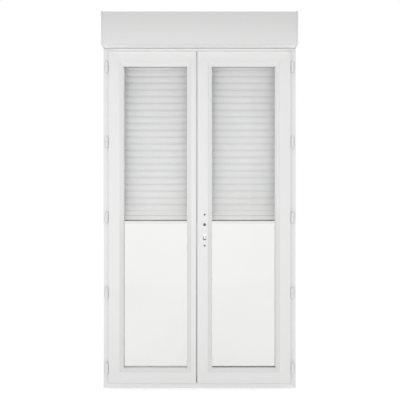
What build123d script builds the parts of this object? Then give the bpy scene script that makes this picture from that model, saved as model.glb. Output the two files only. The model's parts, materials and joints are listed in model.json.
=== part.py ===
from build123d import *
from math import asin, cos, pi, sin
import os

# A two-leaf French door in white plastic profile, hinged inwards in its frame,
# with a roller shutter in a box over the head.
# X runs to the right as seen from the room, Y towards the outside, Z up.
# The origin is the middle of the sill's underside, half way through the frame's depth.
# All lengths are millimetres.

# Frame
frame_width = 1216.0
frame_height = 2162.0
frame_depth = 70.0
frame_leg = 41.0
frame_flange = 64.0
flange_thickness = 14.0
frame_wall = 4.0
frame_edge_round = 2.0

# Leaves
lip_overlap = 8.0
lip_width = 12.0
lip_thickness = 14.0
lip_gap = 1.0
leaf_depth = 68.0
flange_gap = 3.0
stile_width = 70.0
rail_width = 70.0
lock_stile_width = 66.0
bolt_stile_width = 32.0
leaf_wall = 4.0
leaf_edge_round = 3.0
meeting_gap = 9.0
lock_edge_x = -13.0
glazing_flange_thickness = 10.0

# Glazing
bead_width = 25.0
bead_setback = 1.0
bead_ledge = 2.0
bead_slope_depth = 12.0
bead_round = 3.0
pane_thickness = 4.0
pane_space = 20.0
pane_edge_gap = 5.0
glazing_seal_thickness = 3.0
glazing_seal_width = 8.0
glazing_seal_proud = 1.0
spacer_setback = 3.0
spacer_width = 11.0

# Seals
frame_seal_width = 12.0
frame_seal_setback = 5.0
seal_touch_gap = 0.4
lock_seal_proud = 3.8
bolt_seal_proud = 4.4
meeting_seal_height = 7.0
meeting_seal_setback = 4.0
seal_round_share = 0.4

# Reinforcement
steel_thickness = 2.0
steel_depth = 17.0
steel_clearance = 0.3
steel_end_gap = 6.0

# Hinges
hinge_count = 5
hinge_offset = 10.5
hinge_first_height = 129.0
hinge_top_drop = 133.0
knuckle_radius = 9.0
knuckle_height = 31.0
knuckle_gap = 0.6
knuckle_edge_bevel = 1.5
pin_radius = 4.0
pin_cap_radius = 6.5
pin_cap_height = 2.5
pin_cap_gap = 0.3
stem_radius = 3.5
frame_stem_depth = 30.0
leaf_stem_depth = 30.0
running_clearance = 0.05

# Wall fixings
fixing_radius = 5.0
fixing_y = -12.0

# Lock on the right leaf
backset = 45.0
spindle_height = 1035.0
cylinder_drop = 70.0
plate_screw_spacing = 195.0
plate_screw_radius = 4.5
spindle_hole_radius = 9.0
spindle_square = 8.0
cylinder_radius = 8.7
cylinder_slot_width = 10.4
cylinder_height = 33.0
case_depth = 16.0
case_wall = 1.5
case_rise = 75.0
case_drop = 110.0
case_back_gap = 0.4
face_plate_thickness = 3.0
face_plate_rise = 70.0
face_plate_drop = 105.0
face_plate_recess = 0.3
mechanism_y = -16.0
pinion_teeth = 14
rod_travel = 15.0
gear_thickness = 8.0
hub_radius = 8.0
rod_width = 7.0
back_rod_width = 3.4
rod_thickness = 8.0
rod_clearance = 0.5
rod_end_inset = 1.0
tooth_height = 1.2
tooth_root_depth = 1.6
rack_half_count = 2
tooth_angle_shares = (-0.27, -0.09, 0.09, 0.27)
rack_shares = (-0.3, -0.13, 0.13, 0.3)

# Flush bolts on the left leaf
bolt_width = 8.0
bolt_length = 260.0
bolt_travel = 15.0
housing_length = 120.0
housing_wall = 2.0
housing_clearance = 0.4
tab_height = 8.0
tab_width = 5.0
tab_inset = 1.2
tab_slot_spare = 1.0

# Keep plates
keep_length = 44.0
keep_width = 20.0
keep_thickness = 2.0
keep_hole_spare = 1.5

# Shutter box
box_height = 203.0
box_lip = 12.0
box_projection = 110.0
box_panel = 8.0
box_cap = 10.0
box_cap_proud = 1.5
box_edge_round = 4.0
box_gap = 1.0
base_strip_height = 10.0

# Guide rails and curtain
rail_face_width = 48.0
rail_depth = 48.0
rail_wall = 3.0
rail_slot = 11.0
rail_slot_end = 6.0
slat_pitch = 43.6
slat_thickness = 8.5
slat_edge_thickness = 3.4
slat_end_gap = 14.0
slat_joint_gap = 0.4
slat_tongue_height = 4.0
slat_tongue_thickness = 1.4
slat_facets = 6
bar_bottom = 1062.0
bar_height = 55.5
bar_foot_height = 26.5
bar_foot_thickness = 9.6
bar_line_height = 2.5
bar_line_depth = 1.2
bar_shoulder = 9.0
bar_seal_height = 16.0
bar_seal_thickness = 5.0
stop_radius = 9.0
stop_length = 14.0
stop_inset = 120.0

# Winding tube and drive
tube_sides = 8
tube_flats = 60.0
tube_wall = 1.2
tube_end_gap = 22.0
roll_turns = 3
roll_pitch = 8.6
roll_layer = 8.0
roll_gap = 0.4
motor_radius = 22.5
motor_length = 520.0
motor_head_radius = 25.0
motor_head_length = 16.0
motor_pin_radius = 6.0
crown_length = 18.0
wheel_length = 20.0
wheel_shaft_radius = 5.0
wheel_shaft_length = 16.0
fit_gap = 0.3
plug_length = 45.0
plug_wall = 3.0
plug_pin_radius = 6.0
bracket_side = 60.0
bracket_thickness = 6.0
bracket_boss_radius = 14.0

# Half of anything, as a share of it
half_share = 0.5

# Cuts run this far past the solids that they cut
overrun = 20.0

# Bars this close in width count as equal
same_width = 0.01

# Worked out from the sizes above
frame_front = -frame_depth / 2
frame_back = frame_depth / 2
flange_front = frame_back - flange_thickness
leaf_back = flange_front - flange_gap
leaf_front = leaf_back - leaf_depth
lip_back = frame_front - lip_gap
lip_reach = frame_leg - lip_overlap
half_width = frame_width / 2
leaf_outer_x = half_width - lip_reach
bolt_edge_x = lock_edge_x - meeting_gap
hinge_axis_x = leaf_outer_x + hinge_offset
hinge_axis_y = leaf_front
lip_mid_y = lip_back - lip_thickness / 2
glazing_flange_front = leaf_back - glazing_flange_thickness
outer_pane_back = glazing_flange_front - glazing_seal_thickness
inner_pane_back = outer_pane_back - pane_thickness - pane_space
bead_back = inner_pane_back - pane_thickness - glazing_seal_thickness
spindle_x = lock_edge_x + backset
plate_middle = spindle_height - cylinder_drop / 2
cylinder_z = spindle_height - cylinder_drop
case_top = spindle_height + case_rise
case_bottom = spindle_height - case_drop
face_plate_top = case_top + face_plate_rise
face_plate_bottom = case_bottom - face_plate_drop
pitch_radius = rod_travel / (pi / 2)
tooth_pitch = 2 * pi * pitch_radius / pinion_teeth
tooth_radii = (
    pitch_radius - tooth_root_depth + running_clearance, pitch_radius + tooth_height,
    pitch_radius + tooth_height, pitch_radius - tooth_root_depth + running_clearance,
)
curtain_y = frame_back + rail_depth / 2
slat_half = half_width - rail_slot_end - slat_end_gap
box_bottom = frame_height - box_lip
box_top = box_bottom + box_height
box_front = frame_front - box_projection
box_back = frame_back + rail_depth
base_top = frame_height + base_strip_height
tube_corner = tube_flats / 2 / cos(pi / tube_sides)
roll_half_turns = 2 * roll_turns - 1
roll_radius = tube_corner + fit_gap + roll_pitch / 4 + roll_layer + roll_half_turns * roll_pitch / 2
tube_y = curtain_y - slat_thickness / 2 - roll_gap - roll_radius - roll_pitch / 4
tube_z = (base_top + box_top - box_panel) / 2
first_slat = bar_bottom + bar_height
slat_count = int((tube_z - first_slat) / slat_pitch)
hinge_spacing = (frame_height - hinge_first_height - hinge_top_drop) / (hinge_count - 1)
hinge_heights = [hinge_first_height + i * hinge_spacing for i in range(hinge_count)]
fixing_heights = [(low + high) / 2 for low, high in zip(hinge_heights, hinge_heights[1:])]


class Rect:
    """An upright rectangle, seen from the room."""

    def __init__(self, x0, x1, z0, z1):
        self.x0, self.x1, self.z0, self.z1 = x0, x1, z0, z1

    def inset(self, left, right=None, bottom=None, top=None):
        """The rectangle moved in by one distance, or by one for each side."""
        right = left if right is None else right
        bottom = left if bottom is None else bottom
        top = left if top is None else top
        return Rect(self.x0 + left, self.x1 - right, self.z0 + bottom, self.z1 - top)

    def corners(self):
        """Its corners, from the lower left one round to the upper left one."""
        return [(self.x0, self.z0), (self.x1, self.z0), (self.x1, self.z1), (self.x0, self.z1)]

    def block(self, y0, y1):
        """The block with this outline between two depths."""
        return block(self.x0, self.x1, y0, y1, self.z0, self.z1)


def block(x0, x1, y0, y1, z0, z1):
    """A block between two corners."""
    centre = Pos((x0 + x1) / 2, (y0 + y1) / 2, (z0 + z1) / 2)
    return centre * Box(x1 - x0, y1 - y0, z1 - z0)


def prism(points, y0, y1):
    """An outline of (x, z) points, carried from one depth to another."""
    outline = make_face(Polyline(*[(x, y0, z) for x, z in points], close=True))
    return extrude(outline, amount=y1 - y0, dir=(0, 1, 0))


def profile(points, x0, x1):
    """An outline of (y, z) points, carried along X."""
    outline = make_face(Polyline(*[(x0, y, z) for y, z in points], close=True))
    return extrude(outline, amount=x1 - x0, dir=(1, 0, 0))


def rod_x(radius, x0, x1, y, z):
    """A round bar along X."""
    return Pos((x0 + x1) / 2, y, z) * Rot(0, 90, 0) * Cylinder(radius, x1 - x0)


def rod_y(radius, y0, y1, x, z):
    """A round bar along Y."""
    return Pos(x, (y0 + y1) / 2, z) * Rot(90, 0, 0) * Cylinder(radius, y1 - y0)


def rod_z(radius, z0, z1, x, y):
    """A round bar along Z."""
    return Pos(x, y, (z0 + z1) / 2) * Cylinder(radius, z1 - z0)


def ring(outer, inner, y0, y1):
    """The frame between two rectangles."""
    return outer.block(y0, y1) - inner.block(y0 - overrun, y1 + overrun)


def sloped_opening(outer, inner, y0, y1):
    """The opening that narrows from one rectangle to a smaller one behind it."""
    ends = []
    for rect, y in ((outer, y0), (inner, y1)):
        points = [(x, y, z) for x, z in rect.corners()]
        ends.append(make_face(Polyline(*points, close=True)))
    return loft(ends, ruled=True)


def rounded_front(solid, radius):
    """The solid with the edges of its room-side face rounded."""
    return fillet(solid.faces().sort_by(Axis.Y)[0].edges(), radius)


def mitred(solid, outer, flat, inner, y0, y1):
    """A ring cut at its corners into bottom, right, top and left bars.

    Bars of one width meet on a line from the outer to the inner corner. Where an upright is
    narrower, the line turns down its inner face.
    """
    seams = []
    for (ox, oz), (fx, fz), (ix, iz) in zip(outer.corners(), flat.corners(), inner.corners()):
        across, down = 1 if fx > ox else -1, 1 if fz > oz else -1
        width = abs(fx - ox)
        if abs(width - abs(fz - oz)) < same_width:
            seams.append([(ox, oz), (ix, iz)])
        else:
            seams.append([(ox, oz), (ox + across * width, oz + down * width), (fx, iz), (ix, iz)])
    bars = []
    for i, seam in enumerate(seams):
        following = seams[(i + 1) % len(seams)]
        bars.append(solid & prism(seam[::-1] + following, y0, y1))
    return bars


def group(solids):
    """Several separate solids as one piece."""
    return Compound(children=[s for item in solids for s in item.solids()])


def steel_channel(span, y1):
    """A steel channel in a chamber, open to the room side, along the longer side of its span."""
    y0 = y1 - steel_depth
    outer = span.block(y0, y1)
    if span.x1 - span.x0 > span.z1 - span.z0:
        hollow = span.inset(-overrun, -overrun, steel_thickness, steel_thickness)
    else:
        hollow = span.inset(steel_thickness, steel_thickness, -overrun, -overrun)
    return outer - hollow.block(y0 - overrun, y1 - steel_thickness)


def steel_set(outer, inner, y1):
    """Four channels in a chamber that runs round between two rectangles."""
    out, into = outer.inset(steel_clearance), inner.inset(-steel_clearance)
    low, high = into.z0 + steel_end_gap, into.z1 - steel_end_gap
    spans = [
        Rect(into.x0 + steel_end_gap, into.x1 - steel_end_gap, out.z0, into.z0),
        Rect(into.x1, out.x1, low, high),
        Rect(into.x0 + steel_end_gap, into.x1 - steel_end_gap, into.z1, out.z1),
        Rect(out.x0, into.x0, low, high),
    ]
    return [steel_channel(span, y1 - steel_clearance) for span in spans]


def cylinder_cut(y0, y1):
    """The cut-out for a profile cylinder: a round top over a slot with a round end."""
    slot_end = cylinder_z + cylinder_radius - cylinder_height + cylinder_slot_width / 2
    half = cylinder_slot_width / 2
    slot = block(spindle_x - half, spindle_x + half, y0, y1, slot_end, cylinder_z)
    round_top = rod_y(cylinder_radius, y0, y1, spindle_x, cylinder_z)
    return round_top + slot + rod_y(half, y0, y1, spindle_x, slot_end)


# Places of the rods and bolts, shared by the leaves, the keeps and the mechanism
lip_rect = {
    "left": Rect(-leaf_outer_x, bolt_edge_x, lip_reach, frame_height - lip_reach),
    "right": Rect(lock_edge_x, leaf_outer_x, lip_reach, frame_height - lip_reach),
}
body_rect = {
    "left": lip_rect["left"].inset(lip_width, 0, lip_width, lip_width),
    "right": lip_rect["right"].inset(0, lip_width, lip_width, lip_width),
}
flat_rect = {
    "left": lip_rect["left"].inset(stile_width, bolt_stile_width, rail_width, rail_width),
    "right": lip_rect["right"].inset(lock_stile_width, stile_width, rail_width, rail_width),
}
front_rack_x = spindle_x - pitch_radius
back_rack_x = spindle_x + pitch_radius
front_rod = (front_rack_x - tooth_root_depth - rod_width, front_rack_x - tooth_root_depth)
back_rod = (back_rack_x + tooth_root_depth, back_rack_x + tooth_root_depth + back_rod_width)
bolt_mid_x = bolt_edge_x - bolt_stile_width / 2
bolt_span = (bolt_mid_x - bolt_width / 2, bolt_mid_x + bolt_width / 2)
rod_y_span = (mechanism_y - rod_thickness / 2, mechanism_y + rod_thickness / 2)
leaf_top = body_rect["right"].z1
leaf_bottom = body_rect["right"].z0


def rod_block(x_span, z0, z1, spare=0):
    """A square bar of the lock or a bolt, or the hole that it runs in."""
    x0, x1 = x_span
    y0, y1 = rod_y_span
    return block(x0 - spare, x1 + spare, y0 - spare, y1 + spare, z0, z1)


def make_frame():
    """Head, sill and jambs, with the steel, seal and keep plates that they hold."""
    outer = Rect(-half_width, half_width, 0, frame_height)
    rebate, opening = outer.inset(frame_leg), outer.inset(frame_flange)
    body = rounded_front(outer.block(frame_front, frame_back), frame_edge_round)
    body -= rebate.block(frame_front - overrun, flange_front)
    body -= opening.block(frame_front - overrun, frame_back + overrun)
    chamber_out, chamber_in = outer.inset(frame_wall), rebate.inset(-frame_wall)
    chamber_back = flange_front - frame_wall
    body -= ring(chamber_out, chamber_in, frame_front + frame_wall, chamber_back)
    for side in (-1, 1):
        for z in hinge_heights:
            stem_z = z - (knuckle_height + knuckle_gap) / 2
            hole = stem_radius + running_clearance
            hole_end = frame_front + frame_wall + overrun
            body -= rod_y(hole, frame_front - overrun, hole_end, side * hinge_axis_x, stem_z)
        for z in fixing_heights:
            middle = side * (half_width - frame_leg / 2)
            reach = frame_leg / 2 + overrun
            body -= rod_x(fixing_radius, middle - reach, middle + reach, fixing_y, z)
    keeps = []
    places = [(front_rod, 1), (back_rod, -1), (bolt_span, 1), (bolt_span, -1)]
    for span, end in places:
        face = rebate.z1 if end > 0 else rebate.z0
        near, far = sorted((face, face + end * keep_thickness))
        hole = rod_block(span, face - overrun, face + overrun, keep_hole_spare)
        middle = (span[0] + span[1]) / 2
        plate = block(
            middle - keep_length / 2, middle + keep_length / 2,
            mechanism_y - keep_width / 2, mechanism_y + keep_width / 2, near, far,
        )
        body -= plate
        body -= hole
        keeps.append(plate - hole)
    y_span = (frame_front - overrun, frame_back + overrun)
    bottom, right, top, left = mitred(body, outer, rebate, opening, *y_span)
    seal_outer = outer.inset(frame_leg + frame_seal_setback)
    seal = ring(seal_outer, seal_outer.inset(frame_seal_width), leaf_back + seal_touch_gap, flange_front)
    return {
        "frame_sill": bottom,
        "frame_jamb_right": right,
        "frame_head": top,
        "frame_jamb_left": left,
        "frame_seal": seal,
        "frame_reinforcements": group(steel_set(chamber_out, chamber_in, chamber_back)),
        "keep_plates": group(keeps),
    }


def make_hinges(side, name):
    """The knuckles of one side: those on the frame with their stems, and those on the leaf."""
    x, y = side * hinge_axis_x, hinge_axis_y
    bore = pin_radius + running_clearance
    frame_knuckles, leaf_knuckles, pins = [], [], []
    for z in hinge_heights:
        low = (z - knuckle_gap / 2 - knuckle_height, z - knuckle_gap / 2)
        high = (z + knuckle_gap / 2, z + knuckle_gap / 2 + knuckle_height)
        lower = rod_z(knuckle_radius, low[0], low[1], x, y)
        lower = chamfer(lower.edges().filter_by(GeomType.CIRCLE).sort_by(Axis.Z)[0], knuckle_edge_bevel)
        upper = rod_z(knuckle_radius, high[0], high[1], x, y)
        upper = chamfer(upper.edges().filter_by(GeomType.CIRCLE).sort_by(Axis.Z)[-1], knuckle_edge_bevel)
        lower += rod_y(stem_radius, y, frame_front + frame_stem_depth, x, (low[0] + low[1]) / 2)
        stem_end = side * (leaf_outer_x - leaf_stem_depth)
        upper += rod_x(stem_radius, min(x, stem_end), max(x, stem_end), lip_mid_y, (high[0] + high[1]) / 2)
        hole = rod_z(bore, low[0] - overrun, high[1] + overrun, x, y)
        frame_knuckles.append(lower - hole)
        leaf_knuckles.append(upper - hole)
        pin = rod_z(pin_radius, low[0] - pin_cap_gap, high[1] + pin_cap_gap, x, y)
        for z0 in (low[0] - pin_cap_gap - pin_cap_height, high[1] + pin_cap_gap):
            pin += rod_z(pin_cap_radius, z0, z0 + pin_cap_height, x, y)
        pins.append(pin)
    return {
        f"{name}_frame_knuckles": group(frame_knuckles),
        f"{name}_leaf_knuckles": group(leaf_knuckles),
        f"{name}_hinge_pins": group(pins),
    }


def lock_cuts():
    """What is drilled and slotted in the right leaf for its lock."""
    front = (leaf_front - overrun, leaf_front + leaf_wall + overrun)
    cuts = [
        rod_y(spindle_hole_radius, *front, spindle_x, spindle_height),
        cylinder_cut(leaf_front - overrun, leaf_back + overrun),
        rod_block(front_rod, leaf_top - leaf_wall - overrun, leaf_top + overrun, rod_clearance),
        rod_block(back_rod, leaf_bottom - overrun, leaf_bottom + leaf_wall + overrun, rod_clearance),
        block(
            lock_edge_x - overrun, lock_edge_x + leaf_wall + overrun,
            mechanism_y - case_depth / 2 - fit_gap, mechanism_y + case_depth / 2 + fit_gap,
            face_plate_bottom - fit_gap, face_plate_top + fit_gap,
        ),
    ]
    for end in (-1, 1):
        screw_z = plate_middle + end * plate_screw_spacing / 2
        hole_span = (leaf_front - overrun, leaf_front + leaf_wall)
        cuts.append(rod_y(plate_screw_radius, *hole_span, spindle_x, screw_z))
    return cuts


def bolt_housing_span(end):
    """The lower and upper end of a flush bolt's housing, at the leaf's top or bottom."""
    edge = leaf_top if end > 0 else leaf_bottom
    far = edge - end * (bolt_length - rod_end_inset)
    return sorted((far - end * housing_wall, far + end * (housing_length - housing_wall)))


def bolt_cuts():
    """What is slotted in the left leaf for its flush bolts."""
    cuts = []
    for end in (-1, 1):
        edge = leaf_top if end > 0 else leaf_bottom
        reach = leaf_wall + overrun
        cuts.append(rod_block(bolt_span, edge - reach, edge + reach, rod_clearance))
        z0, z1 = bolt_housing_span(end)
        half = bolt_width / 2 + housing_clearance + housing_wall + fit_gap
        cuts.append(block(
            bolt_edge_x - leaf_wall - overrun, bolt_edge_x + overrun,
            mechanism_y - half, mechanism_y + half, z0 - fit_gap, z1 + fit_gap,
        ))
    return cuts


def make_leaf(side, name, cuts):
    """One leaf: four mitred bars, glazing, steel and the seal on its meeting edge."""
    lip, body, flat = lip_rect[name], body_rect[name], flat_rect[name]
    sight = flat.inset(bead_width)
    solid = rounded_front(lip.block(leaf_front, lip_back), leaf_edge_round)
    solid += body.block(lip_back - lip_thickness / 2, leaf_back)
    solid -= flat.block(leaf_front - overrun, glazing_flange_front)
    solid -= sight.block(leaf_front - overrun, leaf_back + overrun)
    chamber_out, chamber_in = body.inset(leaf_wall), flat.inset(-leaf_wall)
    chamber_back = leaf_back - leaf_wall
    solid -= ring(chamber_out, chamber_in, leaf_front + leaf_wall, chamber_back)
    for z in hinge_heights:
        stem_z = z + (knuckle_height + knuckle_gap) / 2
        inner_end = leaf_outer_x - lip_width - leaf_wall - overrun
        ends = sorted((side * inner_end, side * (leaf_outer_x + overrun)))
        solid -= rod_x(stem_radius + running_clearance, *ends, lip_mid_y, stem_z)
    for cut in cuts:
        solid -= cut
    bars = mitred(solid, lip, flat, sight, leaf_front - overrun, leaf_back + overrun)
    stiles = {"right": bars[1], "left": bars[3]}
    steel = steel_set(chamber_out, chamber_in, chamber_back)
    if side > 0:
        steel = [bar - cylinder_cut(leaf_front - overrun, leaf_back + overrun) for bar in steel]

    bead_front = leaf_front + bead_setback
    bead_nose = bead_front + bead_slope_depth
    bead = ring(flat, sight, bead_front, bead_back)
    bead -= sloped_opening(flat.inset(bead_ledge), sight, bead_front, bead_nose)
    bead = fillet(bead.edges().filter_by_position(Axis.Y, bead_nose, bead_nose), bead_round)
    beads = mitred(bead, flat, sight, sight, leaf_front - overrun, leaf_back + overrun)

    glass = flat.inset(pane_edge_gap)
    panes = [
        glass.block(outer_pane_back - pane_thickness, outer_pane_back),
        glass.block(inner_pane_back - pane_thickness, inner_pane_back),
    ]
    spacer_out = glass.inset(spacer_setback)
    spacer_in = spacer_out.inset(spacer_width)
    spacer = ring(spacer_out, spacer_in, inner_pane_back, outer_pane_back - pane_thickness)
    seal_in = sight.inset(glazing_seal_proud)
    seal_out = seal_in.inset(-glazing_seal_width)
    seals = [
        ring(seal_out, seal_in, outer_pane_back, glazing_flange_front),
        ring(seal_out, seal_in, bead_back, inner_pane_back - pane_thickness),
    ]

    edge, proud = (lock_edge_x, -lock_seal_proud) if side > 0 else (bolt_edge_x, bolt_seal_proud)
    y0 = leaf_front + meeting_seal_setback
    root, tip = sorted((edge, edge + proud))
    meeting_seal = block(root, tip, y0, y0 + meeting_seal_height, body.z0, body.z1)
    tips = meeting_seal.edges().filter_by(Axis.Z).group_by(Axis.X)[-1 if proud > 0 else 0]
    meeting_seal = fillet(tips, meeting_seal_height * seal_round_share)
    return {
        f"{name}_hinge_stile": stiles[name],
        f"{name}_meeting_stile": stiles["left" if name == "right" else "right"],
        f"{name}_top_rail": bars[2],
        f"{name}_bottom_rail": bars[0],
        f"{name}_glazing_beads": group(beads),
        f"{name}_glass_panes": group(panes),
        f"{name}_glass_spacer": spacer,
        f"{name}_glazing_seals": group(seals),
        f"{name}_reinforcements": group(steel),
        f"{name}_meeting_seal": meeting_seal,
    }


def gear_points():
    """The outline of the pinion, with a tooth towards each rack at rest."""
    step = 2 * pi / pinion_teeth
    points = []
    for i in range(pinion_teeth):
        for share, radius in zip(tooth_angle_shares, tooth_radii):
            angle = (i + share) * step
            points.append((spindle_x + radius * cos(angle), spindle_height + radius * sin(angle)))
    return points


def rack_points(line_x, away, first, last):
    """The toothed strip of a rod: its teeth stand half a pitch from the pinion's middle."""
    base = line_x + away * tooth_root_depth
    tip = line_x - away * tooth_height
    points = []
    for i in range(first, last):
        middle = spindle_height + (i + half_share) * tooth_pitch
        for share, x in zip(rack_shares, (base, tip, tip, base)):
            points.append((x, middle + share * tooth_pitch))
    ends = (points[0][1], points[-1][1])
    return points + [(base + away * rod_clearance, ends[1]), (base + away * rod_clearance, ends[0])]


def make_lock():
    """The case with its face plate, the pinion, and the two rods with their racks."""
    y0, y1 = mechanism_y - case_depth / 2, mechanism_y + case_depth / 2
    x0 = lock_edge_x + face_plate_thickness
    x1 = lock_edge_x + lock_stile_width - leaf_wall - case_back_gap
    case = block(x0, x1, y0, y1, case_bottom, case_top)
    case -= block(
        x0 + case_wall, x1 - case_wall, y0 + case_wall, y1 - case_wall,
        case_bottom + case_wall, case_top - case_wall,
    )
    case += block(lock_edge_x + face_plate_recess, x0, y0, y1, face_plate_bottom, face_plate_top)
    case -= rod_y(hub_radius + running_clearance, y0 - overrun, y1 + overrun, spindle_x, spindle_height)
    case -= cylinder_cut(y0 - overrun, y1 + overrun)
    case -= rod_block(front_rod, case_top - case_wall - overrun, case_top + overrun, rod_clearance)
    case -= rod_block(back_rod, case_bottom - overrun, case_bottom + case_wall + overrun, rod_clearance)

    gear_y0, gear_y1 = mechanism_y - gear_thickness / 2, mechanism_y + gear_thickness / 2
    pinion = prism(gear_points(), gear_y0, gear_y1)
    pinion += rod_y(hub_radius, y0, y1, spindle_x, spindle_height)
    half = spindle_square / 2
    pinion -= block(
        spindle_x - half, spindle_x + half, y0 - overrun, y1 + overrun,
        spindle_height - half, spindle_height + half,
    )

    reach = int(rod_travel / tooth_pitch) + rack_half_count + 1
    front_rack = rack_points(front_rack_x, -1, -reach, rack_half_count)
    back_rack = rack_points(back_rack_x, 1, -rack_half_count, reach)
    front_low = min(z for _, z in front_rack)
    back_high = max(z for _, z in back_rack)
    top_rod = rod_block(front_rod, front_low, leaf_top - rod_end_inset)
    top_rod += prism(front_rack, gear_y0, gear_y1)
    bottom_rod = rod_block(back_rod, leaf_bottom + rod_end_inset, back_high)
    bottom_rod += prism(back_rack, gear_y0, gear_y1)
    return {"lock_case": case, "lock_pinion": pinion, "lock_top_rod": top_rod, "lock_bottom_rod": bottom_rod}


def make_flush_bolts():
    """The two bolts of the left leaf, in housings let into its meeting edge."""
    parts, housings = {}, []
    for end, name in ((1, "top_flush_bolt"), (-1, "bottom_flush_bolt")):
        edge = leaf_top if end > 0 else leaf_bottom
        tip, tail = edge - end * rod_end_inset, edge - end * bolt_length
        tab_near = tail + end * housing_clearance
        tab_far = tab_near + end * tab_height
        tab_z = sorted((tab_near, tab_far))
        bolt = rod_block(bolt_span, min(tip, tail), max(tip, tail))
        bolt += block(
            bolt_span[1], bolt_edge_x - tab_inset,
            mechanism_y - tab_width / 2, mechanism_y + tab_width / 2, *tab_z,
        )
        parts[name] = bolt
        z0, z1 = bolt_housing_span(end)
        spare = housing_clearance + housing_wall
        y_half = bolt_width / 2 + spare
        housing = block(
            bolt_span[0] - spare, bolt_edge_x - face_plate_recess,
            mechanism_y - y_half, mechanism_y + y_half, z0, z1,
        )
        cavity = sorted((tail - end * housing_clearance, tip + end * overrun))
        housing -= rod_block(bolt_span, cavity[0], cavity[1], housing_clearance)
        slot_z = sorted((tab_near - end * tab_slot_spare, tab_far + end * (bolt_travel + tab_slot_spare)))
        slot_half = tab_width / 2 + tab_slot_spare
        housing -= block(
            bolt_span[1], bolt_edge_x + overrun, mechanism_y - slot_half, mechanism_y + slot_half, *slot_z
        )
        housings.append(housing)
    parts["flush_bolt_housings"] = group(housings)
    return parts


def make_box():
    """The shutter box: panels between two end caps, on a base strip along the frame's head."""
    x = half_width - box_cap
    front = block(-x, x, box_front, box_front + box_panel, box_bottom, box_top)
    front_edges = front.faces().sort_by(Axis.Y)[0].edges().filter_by(Axis.X)
    front = fillet(front_edges, box_edge_round)
    top = block(-x, x, box_front + box_panel, box_back, box_top - box_panel, box_top)
    back = block(-x, x, box_back - box_panel, box_back, box_bottom, box_top - box_panel)
    hatch = block(-x, x, box_front + box_panel, frame_front - box_gap, box_bottom, box_bottom + box_panel)
    rib_z = (box_bottom + box_panel, box_bottom + box_panel + rail_wall)
    hatch += block(-x, x, frame_front - box_gap - rail_wall, frame_front - box_gap, *rib_z)
    base = block(-x, x, frame_front - box_gap, frame_back, frame_height, base_top)
    base -= block(
        -x - overrun, x + overrun, frame_front + rail_wall, frame_back - rail_wall,
        frame_height + rail_wall, base_top,
    )
    outline = [
        (box_front - box_cap_proud, box_bottom), (frame_front - box_gap, box_bottom),
        (frame_front - box_gap, frame_height), (frame_back + box_gap, frame_height),
        (frame_back + box_gap, box_bottom), (box_back, box_bottom),
        (box_back, box_top + box_cap_proud), (box_front - box_cap_proud, box_top + box_cap_proud),
    ]
    parts = {
        "box_front_panel": front, "box_top_panel": top, "box_back_panel": back,
        "box_hatch": hatch, "box_base_strip": base,
    }
    for side, name in ((-1, "left"), (1, "right")):
        ends = sorted((side * x, side * half_width))
        cap = profile(outline, *ends)
        corner = cap.edges().filter_by(Axis.X).group_by(Axis.Z)[-1].sort_by(Axis.Y)[0]
        parts[f"box_end_cap_{name}"] = fillet(corner, box_edge_round)
    return parts


def make_rails():
    """The guide rails on the outside of the jambs, open towards each other."""
    parts = {}
    for side, name in ((-1, "left"), (1, "right")):
        inner, outer = side * (half_width - rail_face_width), side * half_width
        slot_end = side * (half_width - rail_slot_end)
        rail = block(min(inner, outer), max(inner, outer), frame_back, box_back, 0, box_bottom)
        slot_x = sorted((inner - side * overrun, slot_end))
        rail -= block(
            *slot_x, curtain_y - rail_slot / 2, curtain_y + rail_slot / 2, -overrun, box_bottom + overrun
        )
        hollow_x = sorted((inner + side * rail_wall, outer - side * rail_wall))
        hollow_y = sorted((frame_back + rail_wall, curtain_y - rail_slot / 2 - rail_wall))
        rail -= block(*hollow_x, *hollow_y, -overrun, box_bottom + overrun)
        parts[f"guide_rail_{name}"] = rail
    return parts


def slat_section(z):
    """A slat from the side: bowed faces in narrow flats, a groove below and a tongue above."""
    edge = slat_edge_thickness / 2
    rise = slat_thickness / 2 - edge
    height = slat_pitch - slat_joint_gap
    radius = (height ** 2 / 4 + rise ** 2) / (2 * rise)
    sweep = asin(height / 2 / radius)
    groove = slat_tongue_thickness / 2 + slat_joint_gap
    depth = slat_tongue_height + slat_joint_gap
    tongue = slat_tongue_thickness / 2

    def at(y, h):
        return Vector(-slat_half, curtain_y + y, z + h)

    def bowed(side, share):
        """A point of a bowed face, its share of the arc from the lower edge."""
        angle = sweep * (2 * share - 1)
        return at(side * (edge + rise - radius * (1 - cos(angle))), height / 2 + radius * sin(angle))

    shares = [i / slat_facets for i in range(slat_facets + 1)]
    top = height + slat_tongue_height
    front = [bowed(-1, share) for share in shares]
    back = [bowed(1, share) for share in reversed(shares)]
    tongue_points = [at(-tongue, height), at(-tongue, top), at(tongue, top), at(tongue, height)]
    groove_points = [at(groove, 0), at(groove, depth), at(-groove, depth), at(-groove, 0)]
    return make_face(Polyline(*front, *tongue_points, *back, *groove_points, close=True))


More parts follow.
